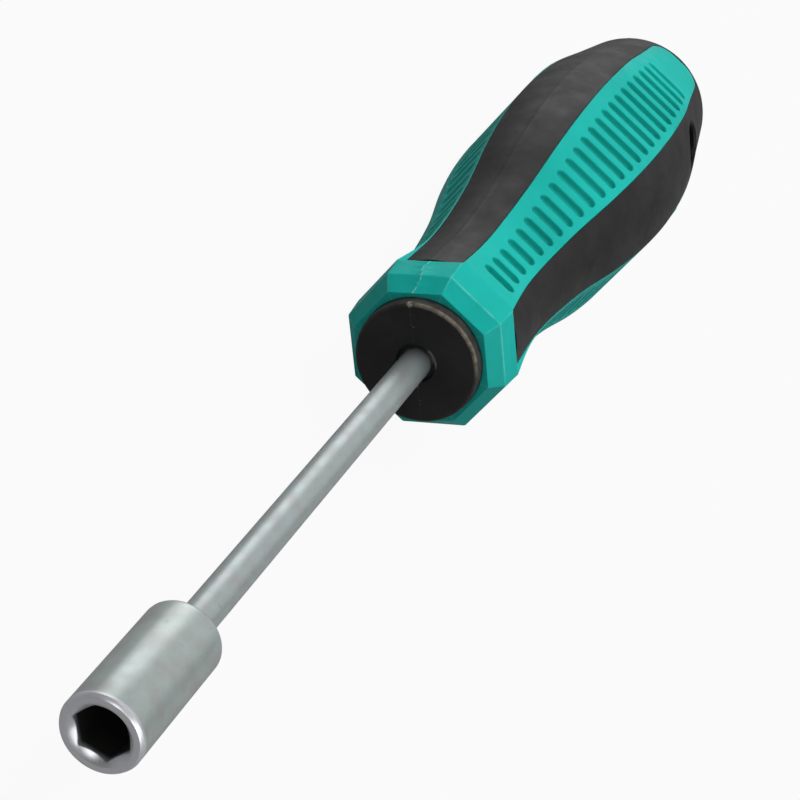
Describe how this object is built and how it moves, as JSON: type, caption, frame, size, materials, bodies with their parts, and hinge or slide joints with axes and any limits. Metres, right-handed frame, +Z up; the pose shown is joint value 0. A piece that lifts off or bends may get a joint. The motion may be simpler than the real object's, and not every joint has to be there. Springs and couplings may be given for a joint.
{
  "type": "nut driver",
  "caption": "Hexagon nut driver: machined steel socket on a slim round shaft, and a bulged two-colour moulded handle with an octagonal collar, ribbed soft strips and a hanging hole.",
  "frame": {"origin": "centre of the socket's mouth, on the tool's axis", "axes": "+X along the tool from the mouth to the butt, +Z up out of a grooved strip when the driver lies on the opposite strip, +Y out of the next strip; the hanging hole runs halfway between -Y and +Z"},
  "size_m": [0.198, 0.0296, 0.0296],
  "materials": {
    "satin_steel": "satin nickel plating over turned steel",
    "drawn_steel": "satin nickel plating over drawn bar",
    "core_plastic": "as moulded, hidden in the handle",
    "black_plastic": "fine matte moulded black",
    "teal_rubber": "satin soft moulding"
  },
  "bodies": {
    "root": {"socket_head": "satin_steel", "shaft": "drawn_steel", "inner_core": "core_plastic", "handle_body": "black_plastic", "soft_grip": "teal_rubber"}
  },
  "joints": []
}
